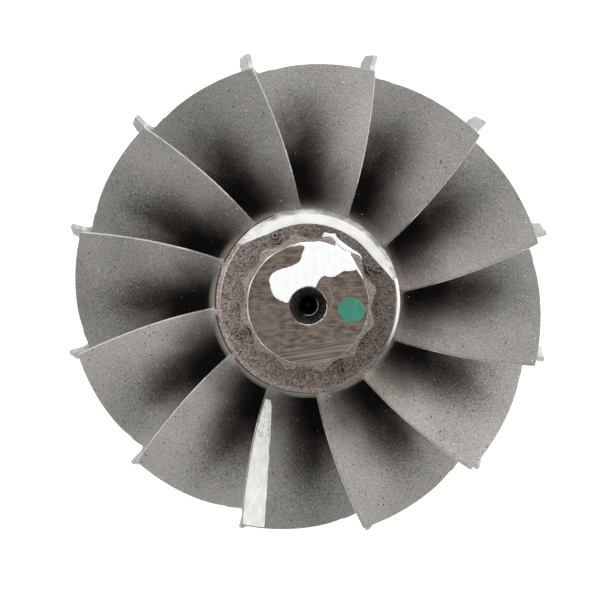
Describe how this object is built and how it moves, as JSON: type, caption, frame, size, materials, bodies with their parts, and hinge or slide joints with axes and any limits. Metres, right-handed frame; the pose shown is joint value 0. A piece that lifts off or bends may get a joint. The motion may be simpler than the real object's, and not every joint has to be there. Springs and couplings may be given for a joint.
{
  "type": "turbocharger turbine wheel",
  "caption": "Cast radial turbine wheel: curved blades on a scalloped disc, round collar and twelve-point drive boss with a drilled centre.",
  "frame": {"origin": "middle of the weld stub's flat end, on the wheel's axis, the lowest point of the part", "axes": "+Z along the wheel's axis from the weld stub to the nose, +X through the middle of a passage between two inducer tips, +Y completes the right-handed frame"},
  "size_m": [0.0856, 0.0856, 0.054],
  "materials": {
    "cast_nickel_alloy": "matt as-cast skin, with bright machined nose, rim edges and balance cut"
  },
  "bodies": {
    "root": {"turbine_wheel": "cast_nickel_alloy"}
  },
  "joints": []
}
